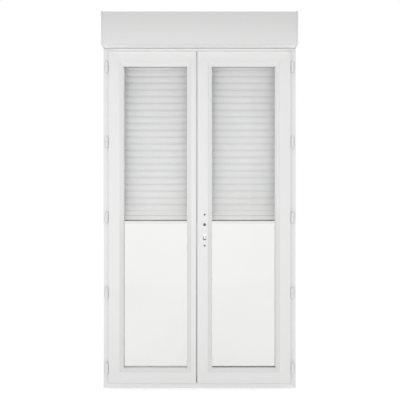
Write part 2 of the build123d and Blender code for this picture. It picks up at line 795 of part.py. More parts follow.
def make_curtain():
    """The hanging slats, the bottom bar with its seal, and the stops that keep it out of the box."""
    length = 2 * slat_half
    slats = []
    for i in range(slat_count):
        section = slat_section(first_slat + i * slat_pitch)
        slats.append(extrude(section, amount=length, dir=(1, 0, 0)))
    foot = bar_foot_thickness / 2
    neck = slat_edge_thickness / 2
    tongue = slat_tongue_thickness / 2
    bar_top = first_slat - slat_joint_gap
    line_low = bar_bottom + bar_foot_height
    line_high = line_low + bar_line_height
    half_outline = [
        (foot, bar_bottom), (foot, line_low), (foot - bar_line_depth, line_low),
        (foot - bar_line_depth, line_high), (foot, line_high), (foot, line_high + bar_shoulder),
        (neck, bar_top), (tongue, bar_top), (tongue, bar_top + slat_tongue_height),
    ]
    outline = [(curtain_y + y, z) for y, z in half_outline]
    outline += [(curtain_y - y, z) for y, z in reversed(half_outline)]
    bar = profile(outline, -slat_half, slat_half)
    groove = bar_seal_thickness / 2
    groove_depth = bar_seal_height / 2
    bar -= block(
        -slat_half - overrun, slat_half + overrun, curtain_y - groove, curtain_y + groove,
        bar_bottom - overrun, bar_bottom + groove_depth,
    )
    seal = block(
        -slat_half, slat_half, curtain_y - groove, curtain_y + groove,
        bar_bottom + groove_depth - bar_seal_height, bar_bottom + groove_depth,
    )
    seal = fillet(seal.edges().filter_by(Axis.X).group_by(Axis.Z)[0], groove * seal_round_share)
    stops = [
        rod_y(stop_radius, curtain_y + foot, curtain_y + foot + stop_length,
              end * (slat_half - stop_inset), bar_bottom + bar_foot_height / 2)
        for end in (-1, 1)
    ]
    return {
        "shutter_slats": group(slats), "bottom_bar": bar,
        "bottom_bar_seal": seal, "bar_stops": group(stops),
    }


def octagon(flats, x0, x1):
    """An eight-sided bar along X on the tube's axis."""
    corner = flats / 2 / cos(pi / tube_sides)
    angles = [(i + half_share) * 2 * pi / tube_sides for i in range(tube_sides)]
    return profile([(tube_y + corner * cos(a), tube_z + corner * sin(a)) for a in angles], x0, x1)


def spiral_arcs(outer_radius, x):
    """Half turns about two centres in turn, each smaller than the last by half the spiral's pitch."""
    arcs = []
    radius, centre, end = outer_radius, tube_y + roll_pitch / 4, 1
    for _ in range(2 * roll_turns):
        start = Vector(x, centre + end * radius, tube_z)
        middle = Vector(x, centre, tube_z + end * radius)
        stop = Vector(x, centre - end * radius, tube_z)
        arcs.append(ThreePointArc(start, middle, stop))
        centre -= end * roll_pitch / 2
        radius -= roll_pitch / 2
        end = -end
    return arcs


def make_winder():
    """The winding tube with its roll of slats, the motor inside it, and the brackets at its ends."""
    x1 = half_width - box_cap - tube_end_gap
    x0 = -x1
    inner = tube_flats - 2 * tube_wall
    tube = octagon(tube_flats, x0, x1) - octagon(inner, x0 - overrun, x1 + overrun)

    outer = spiral_arcs(roll_radius, -slat_half)
    under = spiral_arcs(roll_radius - roll_layer, -slat_half)
    caps = [Line(outer[0] @ 0, under[0] @ 0), Line(outer[-1] @ 1, under[-1] @ 1)]
    roll = extrude(make_face([*outer, *under, *caps]), amount=2 * slat_half, dir=(1, 0, 0))

    cap_x = half_width - box_cap
    head_end = x1 + motor_head_length / 2
    head_start = x1 - motor_head_length / 2
    motor_end = x1 - motor_length
    bracket_face = cap_x - bracket_thickness
    motor = rod_x(motor_radius, motor_end, head_end, tube_y, tube_z)
    motor += rod_x(motor_head_radius, x1 + fit_gap, head_end, tube_y, tube_z)
    motor += rod_x(motor_pin_radius, head_end, cap_x - fit_gap, tube_y, tube_z)
    motor += rod_x(wheel_shaft_radius, motor_end - wheel_shaft_length, motor_end, tube_y, tube_z)

    crown = octagon(inner - 2 * running_clearance, x1 - crown_length, x1)
    crown -= rod_x(motor_radius + running_clearance, head_start - overrun, head_end, tube_y, tube_z)
    wheel_x1 = motor_end - fit_gap
    wheel = octagon(inner - 2 * running_clearance, wheel_x1 - wheel_length, wheel_x1)
    shaft_hole = wheel_shaft_radius + running_clearance
    wheel -= rod_x(shaft_hole, wheel_x1 - wheel_length - overrun, wheel_x1 + overrun, tube_y, tube_z)

    plug = octagon(inner - 2 * running_clearance, x0, x0 + plug_length)
    plug -= octagon(inner - 2 * plug_wall, x0 + plug_wall, x0 + plug_length + overrun)
    plug += rod_x(plug_pin_radius, -cap_x + fit_gap, x0, tube_y, tube_z)

    brackets = []
    for side, radius in ((-1, plug_pin_radius), (1, motor_pin_radius)):
        half = bracket_side / 2
        near, far = sorted((side * bracket_face, side * cap_x))
        plate = block(near, far, tube_y - half, tube_y + half, tube_z - half, tube_z + half)
        boss = sorted((side * bracket_face, side * (bracket_face - bracket_thickness)))
        plate += rod_x(bracket_boss_radius, *boss, tube_y, tube_z)
        ends = sorted((side * (bracket_face - bracket_thickness - overrun), side * cap_x))
        brackets.append(plate - rod_x(radius + running_clearance, *ends, tube_y, tube_z))
    return {
        "winding_tube": tube, "wound_slats": roll, "tubular_motor": motor, "tube_crown": crown,
        "drive_wheel": wheel, "idler_plug": plug, "tube_brackets": group(brackets),
    }


def main():
    """Builds every piece and writes each to its own file."""
    parts = {}
    parts.update(make_frame())
    for side, name in ((-1, "left"), (1, "right")):
        parts.update(make_hinges(side, name))
    parts.update(make_leaf(-1, "left", bolt_cuts()))
    parts.update(make_leaf(1, "right", lock_cuts()))
    parts.update(make_lock())
    parts.update(make_flush_bolts())
    parts.update(make_box())
    parts.update(make_rails())
    parts.update(make_curtain())
    parts.update(make_winder())
    os.makedirs("parts", exist_ok=True)
    for name, solid in parts.items():
        export_step(solid, os.path.join("parts", f"{name}.step"))


main()
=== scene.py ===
"""French doors with their frame, shutter box and roller shutter, dressed for a picture."""

from __future__ import annotations

import json
import logging
from dataclasses import dataclass
from enum import Enum
from math import pi, radians
from typing import Callable

import bpy
from mathutils import Matrix, Vector

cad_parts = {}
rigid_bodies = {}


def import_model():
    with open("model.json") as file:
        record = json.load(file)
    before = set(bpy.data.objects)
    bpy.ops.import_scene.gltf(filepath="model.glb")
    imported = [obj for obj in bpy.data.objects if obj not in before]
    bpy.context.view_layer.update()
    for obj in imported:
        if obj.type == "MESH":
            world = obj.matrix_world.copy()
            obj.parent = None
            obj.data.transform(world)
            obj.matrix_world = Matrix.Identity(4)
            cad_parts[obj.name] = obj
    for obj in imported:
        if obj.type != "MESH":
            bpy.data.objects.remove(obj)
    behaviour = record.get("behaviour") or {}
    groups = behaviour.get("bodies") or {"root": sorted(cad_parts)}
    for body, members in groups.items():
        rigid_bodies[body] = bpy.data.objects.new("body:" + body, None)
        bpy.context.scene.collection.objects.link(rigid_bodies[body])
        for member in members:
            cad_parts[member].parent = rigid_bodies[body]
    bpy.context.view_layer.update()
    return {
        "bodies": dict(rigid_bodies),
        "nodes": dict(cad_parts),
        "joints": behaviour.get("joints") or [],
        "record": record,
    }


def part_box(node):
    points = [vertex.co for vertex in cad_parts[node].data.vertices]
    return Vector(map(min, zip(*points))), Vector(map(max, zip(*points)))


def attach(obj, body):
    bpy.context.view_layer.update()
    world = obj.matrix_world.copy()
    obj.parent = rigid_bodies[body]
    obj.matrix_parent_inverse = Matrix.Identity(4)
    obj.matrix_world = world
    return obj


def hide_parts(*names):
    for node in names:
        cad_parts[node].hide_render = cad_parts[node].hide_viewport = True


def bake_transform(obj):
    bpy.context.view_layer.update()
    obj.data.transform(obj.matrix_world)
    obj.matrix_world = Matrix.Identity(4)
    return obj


log = logging.getLogger("french_doors")

Colour = tuple[float, float, float]
Point = tuple[float, float, float]
Span = tuple[float, float]


class Value:
    """A shader socket that takes part in Python arithmetic."""

    def __init__(self, shader: Shader, socket: bpy.types.NodeSocket) -> None:
        """Wrap one output socket of a shader."""
        self.shader = shader
        self.socket = socket

    def _math(self, operation: str, other: Value | float, swapped: bool = False) -> Value:
        """Add a Math node on this value and another.

        Args:
            operation: the Math node's operation.
            other: the second operand.
            swapped: whether the other operand comes first.

        Returns:
            The node's result.
        """
        first, second = (other, self) if swapped else (self, other)
        return self.shader.out("ShaderNodeMath", {"operation": operation}, {0: first, 1: second})

    def __add__(self, other: Value | float) -> Value:
        """Sum."""
        return self._math("ADD", other)

    def __radd__(self, other: float) -> Value:
        """Sum, from the right."""
        return self._math("ADD", other, True)

    def __sub__(self, other: Value | float) -> Value:
        """Difference."""
        return self._math("SUBTRACT", other)

    def __rsub__(self, other: float) -> Value:
        """Difference, from the right."""
        return self._math("SUBTRACT", other, True)

    def __mul__(self, other: Value | float) -> Value:
        """Product."""
        return self._math("MULTIPLY", other)

    def __rmul__(self, other: float) -> Value:
        """Product, from the right."""
        return self._math("MULTIPLY", other, True)

    def __truediv__(self, other: Value | float) -> Value:
        """Quotient."""
        return self._math("DIVIDE", other)

    def __mod__(self, other: float) -> Value:
        """Remainder that stays positive."""
        return self._math("FLOORED_MODULO", other)

    def __abs__(self) -> Value:
        """Size without sign."""
        return self._math("ABSOLUTE", 0.0)

    def least(self, other: Value | float) -> Value:
        """The smaller of two values."""
        return self._math("MINIMUM", other)

    def most(self, other: Value | float) -> Value:
        """The larger of two values."""
        return self._math("MAXIMUM", other)

    def rise(self, low: float, high: float) -> Value:
        """Go smoothly from 0 at low to 1 at high.

        Args:
            low: the value where the rise starts.
            high: the value where it ends.

        Returns:
            A value between 0 and 1.
        """
        settings = {"interpolation_type": "SMOOTHSTEP"}
        return self.shader.out("ShaderNodeMapRange", settings, {0: self, 1: low, 2: high})


class Shader:
    """One material and the nodes that make it."""

    def __init__(self, name: str) -> None:
        """Start an empty material.

        Args:
            name: the material's name.
        """
        self.material = bpy.data.materials.new(name)
        self.material.use_nodes = True
        self.tree = self.material.node_tree
        self.tree.nodes.clear()
        self.place = Value(self, self.node("ShaderNodeTexCoord").outputs["Object"])
        parts = self.node("ShaderNodeSeparateXYZ", inputs={0: self.place})
        self.x, self.y, self.z = (Value(self, socket) for socket in parts.outputs)

    def node(self, kind: str, settings: dict | None = None, inputs: dict | None = None) -> bpy.types.Node:
        """Add one node.

        Args:
            kind: the node's type.
            settings: its properties, set first.
            inputs: a value or a link for each named or numbered socket.

        Returns:
            The new node.
        """
        node = self.tree.nodes.new(kind)
        for key, value in (settings or {}).items():
            setattr(node, key, value)
        for key, value in (inputs or {}).items():
            if isinstance(value, Value):
                self.tree.links.new(value.socket, node.inputs[key])
            else:
                node.inputs[key].default_value = value
        return node

    def out(
        self, kind: str, settings: dict | None = None, inputs: dict | None = None, socket: int = 0,
    ) -> Value:
        """Add a node and take one of its results.

        Args:
            kind: the node's type.
            settings: its properties.
            inputs: its sockets' values or links.
            socket: the number of the result.

        Returns:
            The result as a value.
        """
        return Value(self, self.node(kind, settings, inputs).outputs[socket])

    def noise(self, scale: float, stretch: Point = (1, 1, 1), detail: float = 2.0) -> Value:
        """Soft noise between 0 and 1.

        Args:
            scale: waves to a metre.
            stretch: how much denser the waves are along each axis.
            detail: octaves of finer noise.

        Returns:
            The noise value.
        """
        place = self.out("ShaderNodeMapping", inputs={"Vector": self.place, "Scale": stretch})
        return self.out("ShaderNodeTexNoise", inputs={"Vector": place, "Scale": scale, "Detail": detail})

    def cells(self, scale: float) -> Value:
        """Flat patches of random tone, as on zinc.

        Args:
            scale: patches to a metre.

        Returns:
            The tone of each patch, between 0 and 1.
        """
        tint = self.out("ShaderNodeTexVoronoi", inputs={"Vector": self.place, "Scale": scale}, socket=1)
        return self.out("ShaderNodeSeparateColor", inputs={0: tint})

    def tone(self, dark: Colour | Value, light: Colour | Value, share: Value) -> Value:
        """Mix two colours.

        Args:
            dark: the colour where share is 0.
            light: the colour where share is 1.
            share: the mask between them.

        Returns:
            The mixed colour.
        """
        first, second = (c if isinstance(c, Value) else (*c, 1.0) for c in (dark, light))
        return self.out("ShaderNodeMix", {"data_type": "RGBA"}, {0: share, 6: first, 7: second}, 2)

    def bump(self, height: Value, depth: float) -> Value:
        """Turn a height into a surface relief.

        Args:
            height: the relief's value.
            depth: metres for a height of 1.

        Returns:
            A normal for the surface.
        """
        return self.out("ShaderNodeBump", inputs={"Height": height, "Distance": depth})

    def surface(self, **sockets: Value | float | tuple) -> bpy.types.Material:
        """Finish the material.

        Args:
            **sockets: the shader's sockets, with underscores for spaces.

        Returns:
            The finished material.
        """
        inputs = {key.replace("_", " "): value for key, value in sockets.items()}
        coat = self.out("ShaderNodeBsdfPrincipled", inputs=inputs)
        self.node("ShaderNodeOutputMaterial", inputs={"Surface": coat})
        return self.material


def scaled(colour: Colour, share: float) -> Colour:
    """A colour made darker or lighter by a share."""
    return tuple(channel * share for channel in colour)


class Grain(Enum):
    """The way that a drawn or brushed surface runs."""

    ACROSS = (1.0, 40.0, 40.0)
    UPRIGHT = (40.0, 40.0, 1.0)


@dataclass(frozen=True)
class Seams:
    """Where the welded corners of a rectangle of profiles run.

    Attributes:
        outer: x of the edge whose corners are cut at 45 degrees in full.
        inner: x of the opposite edge.
        narrow: width of the upright along the inner edge.
        bottom: z of the lower edge.
        top: z of the upper edge.
    """

    outer: float
    inner: float
    narrow: float
    bottom: float
    top: float

    def distance(self, shader: Shader) -> Value:
        """Distance in metres from the nearest seam.

        Args:
            shader: the material that shows the seams.

        Returns:
            The distance as a value.
        """
        upright = (shader.z - self.bottom).least(self.top - shader.z)
        from_outer = abs(shader.x - self.outer)
        from_inner = abs(shader.x - self.inner)
        return abs(from_outer - upright).least(abs(from_inner - upright.least(self.narrow)))


@dataclass(frozen=True)
class Cavity:
    """A box painted dark as shade inside a hollow profile that light hardly reaches, or a painted shadow
    along the edge of a cut-out.

    Attributes:
        low: the box's lower corner.
        high: its upper corner.
        colour: what shows in it.
        edge: width of its soft edge.
    """

    low: Point
    high: Point
    colour: Colour = (0.03, 0.03, 0.03)
    edge: float = 0.0004

    def mask(self, shader: Shader) -> Value:
        """Say where the box is.

        Args:
            shader: the material that has the cavity.

        Returns:
            1 inside the box and 0 outside it.
        """
        share = 1.0
        for value, low, high in zip((shader.x, shader.y, shader.z), self.low, self.high):
            share = share * value.rise(low, low + self.edge) * (1 - value.rise(high - self.edge, high))
        return share


@dataclass(frozen=True)
class HoleShade:
    """A dark disc painted on a front face round a drilled hole: painted shade in the hole.

    Attributes:
        x: the hole's middle across.
        z: the hole's middle in height.
        radius: the rim's outer radius.
        front: y of the front face.
        colour: what shows in it.
        edge: width of its soft edge.
    """

    x: float
    z: float
    radius: float
    front: float = -0.0495
    colour: Colour = (0.05, 0.05, 0.05)
    edge: float = 0.0003

    def mask(self, shader: Shader) -> Value:
        """Say where the rim is.

        Args:
            shader: the material that has the hole.

        Returns:
            1 inside the rim's radius at the front face and 0 elsewhere.
        """
        across, up = shader.x - self.x, shader.z - self.z
        inner, outer = (self.radius - self.edge) ** 2, self.radius**2
        disc = 1 - (across * across + up * up).rise(inner, outer)
        return disc * (1 - shader.y.rise(self.front, self.front + self.edge))


@dataclass(frozen=True)
class WeldedPlastic:
    """White window plastic, smooth, with welded corners, darker towards the bottom, painted light and a
    painted shadow under the shutter box, and painted shade in and round its holes.

    Attributes:
        name: the material's name.
        seams: where the welded corners run.
        hollows: the painted shade in and round its holes.
        colour: the clean plastic.
        dull_share: tone of the dullest plastic, as a share of the clean tone.
        roughness: the least roughness.
        weld: distances from a seam between which its groove ends.
        dim_below: heights between which the darker tone towards the bottom ends; on the beads it is painted
            shade.
        dim_below_share: how much that darker tone dulls.
        front: y between which the front faces end.
        painted_head_light: heights between which the painted light on the strip under the box starts.
        painted_head_light_ends: distances from the middle between which it ends.
        painted_head_light_gain: the painted light's tone, as a share of the clean tone.
        box_foot: height of the box's foot.
        foot_edge: height above the foot over which the painted light ends.
        painted_box_shadow: heights above the foot between which the painted shadow under the box starts.
        painted_box_shadow_share: the painted shadow's tone, as a share of the clean tone.
    """

    name: str
    seams: Seams
    hollows: tuple[Cavity | HoleShade, ...] = ()
    colour: Colour = (0.647, 0.647, 0.645)
    dull_share: float = 0.86
    roughness: float = 0.34
    weld: Span = (0.0003, 0.0009)
    dim_below: Span = (0.0, 0.5)
    dim_below_share: float = 0.12
    front: Span = (-0.034, -0.032)
    painted_head_light: Span = (2.06, 2.129)
    painted_head_light_ends: Span = (0.53, 0.585)
    painted_head_light_gain: float = 1.08
    box_foot: float = 2.144
    foot_edge: float = 0.002
    painted_box_shadow: Span = (0.0005, 0.0015)
    painted_box_shadow_share: float = 0.74

    def material(self) -> bpy.types.Material:
        """Make the finish's material.

        Returns:
            The material.
        """
        shader = Shader(self.name)
        weld = 1 - self.seams.distance(shader).rise(*self.weld)
        # darker towards the bottom; on the beads this is painted shade
        dimming = 1 - shader.z.rise(*self.dim_below)
        cloud = shader.noise(3.0)
        ripple = shader.noise(900.0, detail=1.0)
        shade = (0.75 + 0.25 * cloud) - self.dim_below_share * dimming - 0.5 * weld
        colour = shader.tone(scaled(self.colour, self.dull_share), self.colour, shade)
        front = 1 - shader.y.rise(*self.front)
        between = 1 - abs(shader.x).rise(*self.painted_head_light_ends)
        above = shader.z - self.box_foot
        # painted light: a lighter strip on the front faces under the shutter box, where its shade falls
        painted_light = shader.z.rise(*self.painted_head_light) * (1 - above.rise(0.0, self.foot_edge))
        colour = shader.tone(colour, scaled(self.colour, self.painted_head_light_gain), painted_light * front * between)
        # painted shadow: a dark line on the front faces just under the shutter box
        colour = shader.tone(colour, scaled(self.colour, self.painted_box_shadow_share), above.rise(*self.painted_box_shadow) * front)
        # painted shade in and round the holes
        for hollow in self.hollows:
            colour = shader.tone(colour, hollow.colour, hollow.mask(shader))
        gloss = self.roughness + 0.12 * cloud + 0.2 * dimming
        relief = shader.bump(0.12 * ripple - weld, 0.0003)
        return shader.surface(Base_Color=colour, Roughness=gloss, Normal=relief)


@dataclass(frozen=True)
class PlainPlastic:
    """Moulded or drawn plastic with a fine grain and a faint change of tone."""

    name: str
    colour: Colour
    roughness: float
    contrast: float

    def material(self) -> bpy.types.Material:
        """Make the finish's material.

        Returns:
            The material.
        """
        shader = Shader(self.name)
        cloud = shader.noise(5.0)
        lines = shader.noise(30.0, Grain.ACROSS.value)
        ripple = shader.noise(1100.0, detail=1.0)
        share = 0.6 * cloud + 0.4 * lines
        colour = shader.tone(scaled(self.colour, 1 - self.contrast), self.colour, share)
        relief = shader.bump(0.5 * ripple + 0.5 * lines, 0.00008)
        return shader.surface(Base_Color=colour, Roughness=self.roughness + 0.15 * cloud, Normal=relief)


@dataclass(frozen=True)
class BoxPlastic:
    """The shutter box's matt plastic, with painted shade making it a little duller towards its top."""

    name: str
    colour: Colour
    heights: Span
    top_shade_share: float = 0.86

    def material(self) -> bpy.types.Material:
        """Make the finish's material.

        Returns:
            The material.
        """
        shader = Shader(self.name)
        # painted shade: the box darker towards its top, following how the light falls
        box_painted_light = 1 - shader.z.rise(*self.heights)
        cloud = shader.noise(4.0)
        lines = shader.noise(25.0, Grain.ACROSS.value)
        share = 0.8 * box_painted_light + 0.12 * cloud + 0.08 * lines
        colour = shader.tone(scaled(self.colour, self.top_shade_share), self.colour, share)
        ripple = shader.noise(800.0, detail=1.0)
        relief = shader.bump(0.5 * ripple + 0.4 * lines, 0.00008)
        return shader.surface(Base_Color=colour, Roughness=0.42 + 0.12 * cloud, Normal=relief)


@dataclass(frozen=True)
class SlatPlastic:
    """The slats' pale plastic, with painted shade at its joints and on its upper slats, painted light on its
    lowest slats and at its top, and weathered on the outside.

    Attributes:
        name: the material's name.
        colour: the plastic at its lightest.
        first: height of the lowest slat.
        pitch: height from slat to slat.
        middle_y: y where inside and outside meet.
        skin: half the width of that meeting.
        dull_share: tone of the dullest plastic, as a share of the lightest.
        painted_light: heights between which the painted light on the lowest slats ends.
        painted_upper_shade: heights between which the painted shade on the upper slats starts.
        clean: the colour of the painted light at the top, where the box's shade falls.
        painted_top_light: heights between which it starts.
        worn_share: tone of the outside, as a share of the inside's.
    """

    name: str
    colour: Colour
    first: float
    pitch: float
    middle_y: float
    skin: float = 0.0008
    dull_share: float = 0.8
    painted_light: Span = (1.15, 1.5)
    painted_upper_shade: Span = (1.4, 1.9)
    # the colour of the painted light at the top of the slats
    clean: Colour = (0.97, 0.975, 0.97)
    painted_top_light: Span = (2.012, 2.04)
    worn_share: float = 0.82

    def material(self) -> bpy.types.Material:
        """Make the finish's material.

        Returns:
            The material.
        """
        shader = Shader(self.name)
        along = ((shader.z - self.first) % self.pitch) / self.pitch
        # painted shade in the valleys at the slats' joints
        joint = 1 - along.least(1 - along).rise(0.02, 0.3)
        cloud = shader.noise(6.0, (0.4, 1.0, 3.0))
        lines = shader.noise(30.0, Grain.ACROSS.value)
        # painted shade on the upper slats and painted light on the lowest, following how the light falls
        painted_upper_shade = shader.z.rise(*self.painted_upper_shade)
        painted_light = 1 - shader.z.rise(*self.painted_light)
        share = 0.75 + 0.1 * cloud + 0.2 * painted_light - 0.42 * painted_upper_shade - 0.4 * joint - 0.08 * lines
        inside = shader.tone(scaled(self.colour, self.dull_share), self.colour, share)
        # painted light at the top, where the box shades the slats
        inside = shader.tone(inside, self.clean, 0.9 * shader.z.rise(*self.painted_top_light))
        worn = scaled(self.colour, self.worn_share)
        outside = shader.tone(scaled(worn, self.dull_share), worn, share)
        side = shader.y.rise(self.middle_y - self.skin, self.middle_y + self.skin)
        colour = shader.tone(inside, outside, side)
        relief = shader.bump(lines, 0.00006)
        return shader.surface(Base_Color=colour, Roughness=0.45 + 0.15 * cloud, Normal=relief)


@dataclass(frozen=True)
class CoatedMetal:
    """Metal under paint or powder, with a fine orange-peel skin."""

    name: str
    colour: Colour
    roughness: float

    def material(self) -> bpy.types.Material:
        """Make the finish's material.

        Returns:
            The material.
        """
        shader = Shader(self.name)
        cloud = shader.noise(8.0)
        peel = shader.noise(1400.0, detail=1.0)
        colour = shader.tone(scaled(self.colour, 0.92), self.colour, 0.7 * cloud + 0.3 * peel)
        relief = shader.bump(peel, 0.00007)
        return shader.surface(Base_Color=colour, Roughness=self.roughness + 0.1 * cloud, Normal=relief)


@dataclass(frozen=True)
class BarPowder:
    """The bottom bar's powder coat, with a darker, rougher line along it."""

    name: str
    colour: Colour
    line: Span
    edge: float = 0.0005

    def material(self) -> bpy.types.Material:
        """Make the finish's material.

        Returns:
            The material.
        """
        shader = Shader(self.name)
        low, high = self.line
        # a darker, rougher line along the bar
        dimming = shader.z.rise(low - self.edge, low) * (1 - shader.z.rise(high, high + self.edge))
        cloud = shader.noise(7.0, (0.5, 1.0, 2.0))
        peel = shader.noise(1400.0, detail=1.0)
        colour = shader.tone(scaled(self.colour, 0.72), self.colour, 0.86 + 0.14 * cloud - 0.85 * dimming)
        relief = shader.bump(peel, 0.00007)
        return shader.surface(Base_Color=colour, Roughness=0.4 + 0.1 * cloud + 0.2 * dimming, Normal=relief)


@dataclass(frozen=True)
class ZincSteel:
    """Galvanised or plated steel: patches of zinc, or fine drawn lines."""

    name: str
    colour: Colour
    roughness: float
    spangled: bool = False
    cavity: Cavity | None = None

    def material(self) -> bpy.types.Material:
        """Make the finish's material.

        Returns:
            The material.
        """
        shader = Shader(self.name)
        lines = shader.noise(60.0, Grain.UPRIGHT.value)
        patches = shader.cells(90.0) if self.spangled else lines
        stain = shader.noise(14.0, detail=4.0)
        share = 0.65 * patches + 0.35 * stain
        colour = shader.tone(scaled(self.colour, 0.72), self.colour, share)
        # painted shade inside the lock case
        if self.cavity:
            colour = shader.tone(colour, self.cavity.colour, self.cavity.mask(shader))
        gloss = self.roughness + 0.2 * patches - 0.1 * stain
        relief = shader.bump(lines, 0.00004)
        return shader.surface(Base_Color=colour, Roughness=gloss, Metallic=1.0, Normal=relief)


@dataclass(frozen=True)
class PerforatedSpacer:
    """The panes' metal spacer, with its row of fine breathing holes."""

    name: str
    colour: Colour
    middle_y: float = -0.009
    spacing: float = 0.004
    hole: Span = (0.0004, 0.0007)
    row: Span = (0.0006, 0.001)
    metallic: float = 0.35

    def material(self) -> bpy.types.Material:
        """Make the finish's material.

        Returns:
            The material.
        """
        shader = Shader(self.name)
        middle = abs(shader.y - self.middle_y)
        across = abs((shader.x % self.spacing) - self.spacing / 2)
        upright = abs((shader.z % self.spacing) - self.spacing / 2)
        hole = (1 - across.most(upright).rise(*self.hole)) * (1 - middle.rise(*self.row))
        cloud = shader.noise(20.0)
        colour = shader.tone(scaled(self.colour, 0.4), self.colour, 0.8 + 0.2 * cloud - hole)
        relief = shader.bump(1 - hole, 0.0003)
        gloss = 0.45 + 0.15 * cloud
        return shader.surface(Base_Color=colour, Roughness=gloss, Metallic=self.metallic, Normal=relief)


@dataclass(frozen=True)
class SealRubber:
    """Soft seal, matt and full of fine pores, soiled low down where feet pass it.

    Attributes:
        name: the material's name.
        colour: the clean seal.
        contrast: how much darker its pores are.
        soiled: heights between which the soil ends, if there is any.
        soil: the soil's tone, as a share of the clean tone.
    """

    name: str
    colour: Colour
    contrast: float = 0.25
    soiled: Span | None = None
    soil: float = 0.5

    def material(self) -> bpy.types.Material:
        """Make the finish's material.

        Returns:
            The material.
        """
        shader = Shader(self.name)
        cloud = shader.noise(18.0)
        pores = shader.noise(1600.0, detail=2.0)
        colour = shader.tone(scaled(self.colour, 1 - self.contrast), self.colour, 0.6 * cloud + 0.4 * pores)
        if self.soiled:
            colour = shader.tone(scaled(self.colour, self.soil), colour, shader.z.rise(*self.soiled))
        relief = shader.bump(pores, 0.0001)
        return shader.surface(Base_Color=colour, Roughness=0.68 + 0.2 * pores, Normal=relief)


@dataclass(frozen=True)
class ClearGlass:
    """Clear float glass with the faintest film on it, thicker low down and thinner at the top, where the
    thinner film is painted light on the shaded slats behind.

    Attributes:
        name: the material's name.
        colour: the film's colour.
        low_colour: its colour low down.
        low: heights between which that colour ends.
        film: the least film.
        patches: how much it varies.
        painted_top_light: heights between which the thinner film at the top starts, painted light on the
            slats behind, which lie in the box's shade.
        top_light_share: how much of the film is missing there.
        foot_film: what is added low down.
        foot: heights between which that ends.
    """

    name: str
    colour: Colour = (0.10, 0.108, 0.104)
    low_colour: Colour = (0.106, 0.102, 0.05)
    low: Span = (0.9, 1.3)
    film: float = 0.028
    patches: float = 0.02
    painted_top_light: Span = (1.93, 2.03)
    top_light_share: float = 0.75
    foot_film: float = 0.032
    foot: Span = (0.35, 1.9)

    def material(self) -> bpy.types.Material:
        """Make the finish's material.

        Returns:
            The material.
        """
        shader = Shader(self.name)
        cloud = shader.noise(2.2, detail=3.0)
        wave = shader.noise(1.4, detail=0.0)
        # the film thins at the top: painted light on the slats behind, which lie in the box's shade
        film = (self.film + self.patches * cloud) * (1 - self.top_light_share * shader.z.rise(*self.painted_top_light))
        veil = film + self.foot_film * (1 - shader.z.rise(*self.foot))
        colour = shader.tone(self.low_colour, self.colour, shader.z.rise(*self.low))
        relief = shader.bump(wave, 0.0004)
        return shader.surface(Base_Color=colour, Roughness=0.02, Alpha=veil, Normal=relief, IOR=1.5)


class Bench:
    """Hand tools that shape one piece in edit mode."""

    def __init__(self, name: str, add: Callable[..., set], **sizes: object) -> None:
        """Start a piece from a primitive, alone in the selection.

        Args:
            name: the piece's name.
            add: the operator that adds the primitive.
            **sizes: the operator's sizes and place.
        """
        bpy.ops.object.select_all(action="DESELECT")
        add(**sizes)
        self.piece = bpy.context.object
        self.piece.name = name
        self.piece.data.name = name
        bpy.ops.object.transform_apply(location=True, rotation=True, scale=True)

    def pick(self, wanted: Callable[[Vector, Vector], bool]) -> None:
        """Select faces by their place and normal, ready for an operator.

        Args:
            wanted: says whether a face with this centre and normal is selected.
        """
        bpy.ops.object.mode_set(mode="OBJECT")
        bpy.context.tool_settings.mesh_select_mode = (False, False, True)
        mesh = self.piece.data
        mesh.vertices.foreach_set("select", [False] * len(mesh.vertices))
        mesh.edges.foreach_set("select", [False] * len(mesh.edges))
        for face in mesh.polygons:
            face.select = wanted(face.center, face.normal)
        bpy.ops.object.mode_set(mode="EDIT")

    def pick_points(self, wanted: Callable[[int, Vector], bool]) -> None:
        """Select points by their number and place.

        Args:
            wanted: says whether the point with this number and place is selected.
        """
        bpy.ops.object.mode_set(mode="OBJECT")
        bpy.context.tool_settings.mesh_select_mode = (True, False, False)
        mesh = self.piece.data
        mesh.polygons.foreach_set("select", [False] * len(mesh.polygons))
        mesh.edges.foreach_set("select", [False] * len(mesh.edges))
        for point in mesh.vertices:
            point.select = wanted(point.index, point.co)
        bpy.ops.object.mode_set(mode="EDIT")

    def everything(self) -> None:
        """Select the whole piece."""
        bpy.ops.object.mode_set(mode="EDIT")
        bpy.ops.mesh.select_all(action="SELECT")

    def push(self, x: float = 0.0, y: float = 0.0, z: float = 0.0) -> None:
        """Extrude the selected faces by a move."""
        bpy.ops.mesh.extrude_region_move(TRANSFORM_OT_translate={"value": (x, y, z)})

    def resize(self, factors: Point, centre: Point) -> None:
        """Scale the selection about a point."""
        bpy.ops.transform.resize(value=factors, center_override=centre)

    def trim(self, point: Point, normal: Point) -> None:
        """Cut the whole piece along a plane, keep what lies behind it and close the cut."""
        self.everything()
        bpy.ops.mesh.bisect(plane_co=point, plane_no=normal, use_fill=True, clear_outer=True)

    def soften(self, width: float, segments: int, angle: float) -> None:
        """Round the edges that are sharper than an angle.

        Args:
            width: the rounding's width in metres.
            segments: flats across it.
            angle: degrees between the faces beside an edge.
        """
        bpy.ops.object.mode_set(mode="OBJECT")
        bevel = self.piece.modifiers.new("rounding", "BEVEL")
        bevel.width = width
        bevel.segments = segments
        bevel.angle_limit = radians(angle)
        bpy.ops.object.modifier_apply(modifier=bevel.name)

    def done(self, smooth_angle: float = 35.0) -> bpy.types.Object:
        """Leave edit mode with clean normals and smooth curves.

        Args:
            smooth_angle: edges sharper than this many degrees stay sharp.

        Returns:
            The piece.
        """
        self.everything()
        bpy.ops.mesh.normals_make_consistent(inside=False)
        bpy.ops.object.mode_set(mode="OBJECT")
        bpy.ops.object.shade_smooth_by_angle(angle=radians(smooth_angle))
        return self.piece


